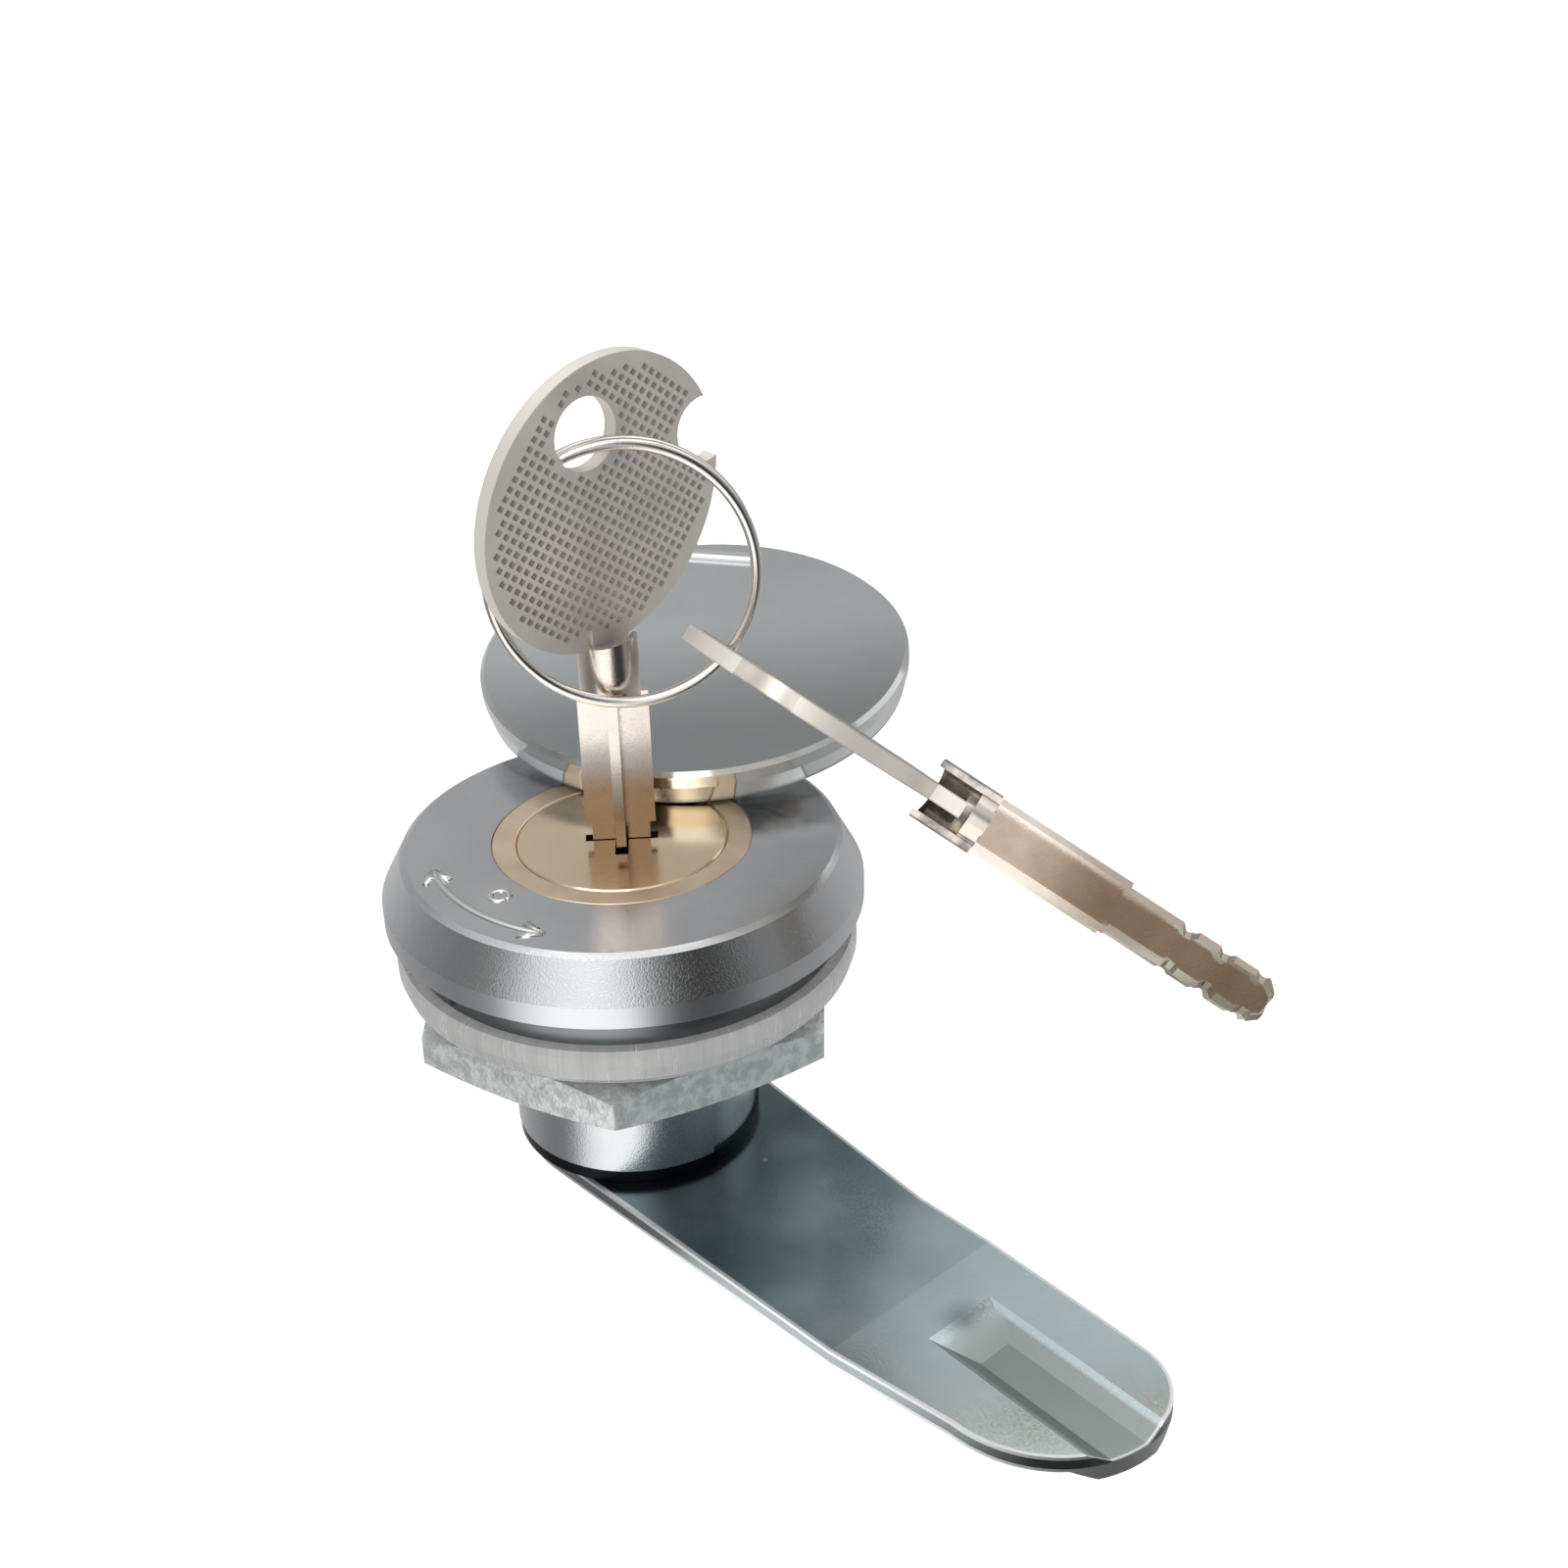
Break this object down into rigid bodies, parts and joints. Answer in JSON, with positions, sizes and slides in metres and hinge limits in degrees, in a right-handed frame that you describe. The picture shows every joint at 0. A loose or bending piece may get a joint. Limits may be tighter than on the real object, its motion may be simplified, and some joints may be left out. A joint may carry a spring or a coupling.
{
  "type": "cabinet cam lock",
  "caption": "Round cabinet cam lock with a swivelling dust cover, flat cam, hex nut, cross key in the plug and a spare key on a wire ring.",
  "frame": {"origin": "on the lock's axis at the panel seat, the underside of the gasket", "axes": "+Z along the lock's axis, out of the cabinet; +X along the cam with the key at rest"},
  "size_m": [0.0812, 0.0542, 0.0679],
  "materials": {
    "satin_chrome": "satin chrome on a zinc casting",
    "clear_gasket": "milky translucent plastic",
    "zinc_nut": "clear zinc plate",
    "brass_ring": "matt brass",
    "brass_plug": "satin brass",
    "pin_steel": "plain steel",
    "pin_brass": "turned brass",
    "spring_wire": "spring steel",
    "black_washer": "black oxide",
    "blue_zinc": "blue passivated zinc on steel",
    "nickel_bow": "matt nickel with fine knurling",
    "nickel_bright": "bright nickel",
    "ring_wire": "bright nickel wire",
    "cover_chrome": "satin chrome with a bright rim"
  },
  "bodies": {
    "lock_body": {"housing": "satin_chrome", "gasket": "clear_gasket", "hex_nut": "zinc_nut", "cylinder_sleeve": "brass_ring", "sleeve_lock_pin": "pin_steel", "driver_pins": "pin_brass", "pin_springs": "spring_wire"},
    "plug_set": {"plug": "brass_plug", "key_pins": "pin_brass", "stop_washer": "black_washer", "cam": "blue_zinc", "cam_washer": "zinc_nut", "cam_screw": "zinc_nut"},
    "first_key": {"key_bow": "nickel_bow", "key_collar": "nickel_bright", "key_blade": "nickel_bright"},
    "ring": {"key_ring": "ring_wire"},
    "spare_key": {"spare_bow": "nickel_bow", "spare_collar": "nickel_bright", "spare_blade": "nickel_bright"},
    "spindle": {"cover_spindle": "pin_steel", "hinge_block": "cover_chrome", "spindle_clip": "spring_wire", "spindle_spring": "spring_wire"},
    "cover": {"dust_cover": "cover_chrome", "finger_catch": "cover_chrome", "cover_pin": "pin_steel"}
  },
  "joints": [
    {"name": "plug_turn", "type": "hinge", "parent": "lock_body", "child": "plug_set", "pos_m": [0, 0, 0], "axis": [0, 0, 1], "range_deg": [-90, 0]},
    {"name": "key_slide", "type": "slide", "parent": "plug_set", "child": "first_key", "axis": [0, 0, 1], "range_m": [0, 0.03]},
    {"name": "key_ring_swing", "type": "hinge", "parent": "first_key", "child": "ring", "pos_m": [-0.00001, -0.00095, 0.0419], "axis": [0, 0, 1], "range_deg": [-25, 0]},
    {"name": "spare_key_swing", "type": "hinge", "parent": "ring", "child": "spare_key", "pos_m": [0.00716, 0.0048, 0.02649], "axis": [0.3235, 0.607, 0.7259], "range_deg": [-10, 25]},
    {"name": "cover_swivel", "type": "hinge", "parent": "lock_body", "child": "spindle", "pos_m": [-0.0063, 0.00926, 0.0107], "axis": [0, 0, 1], "range_deg": [-15, 25]},
    {"name": "cover_tilt", "type": "hinge", "parent": "spindle", "child": "cover", "pos_m": [-0.0063, 0.00926, 0.01281], "axis": [-0.8271, -0.5621, 0], "range_deg": [0, 7.5]}
  ]
}
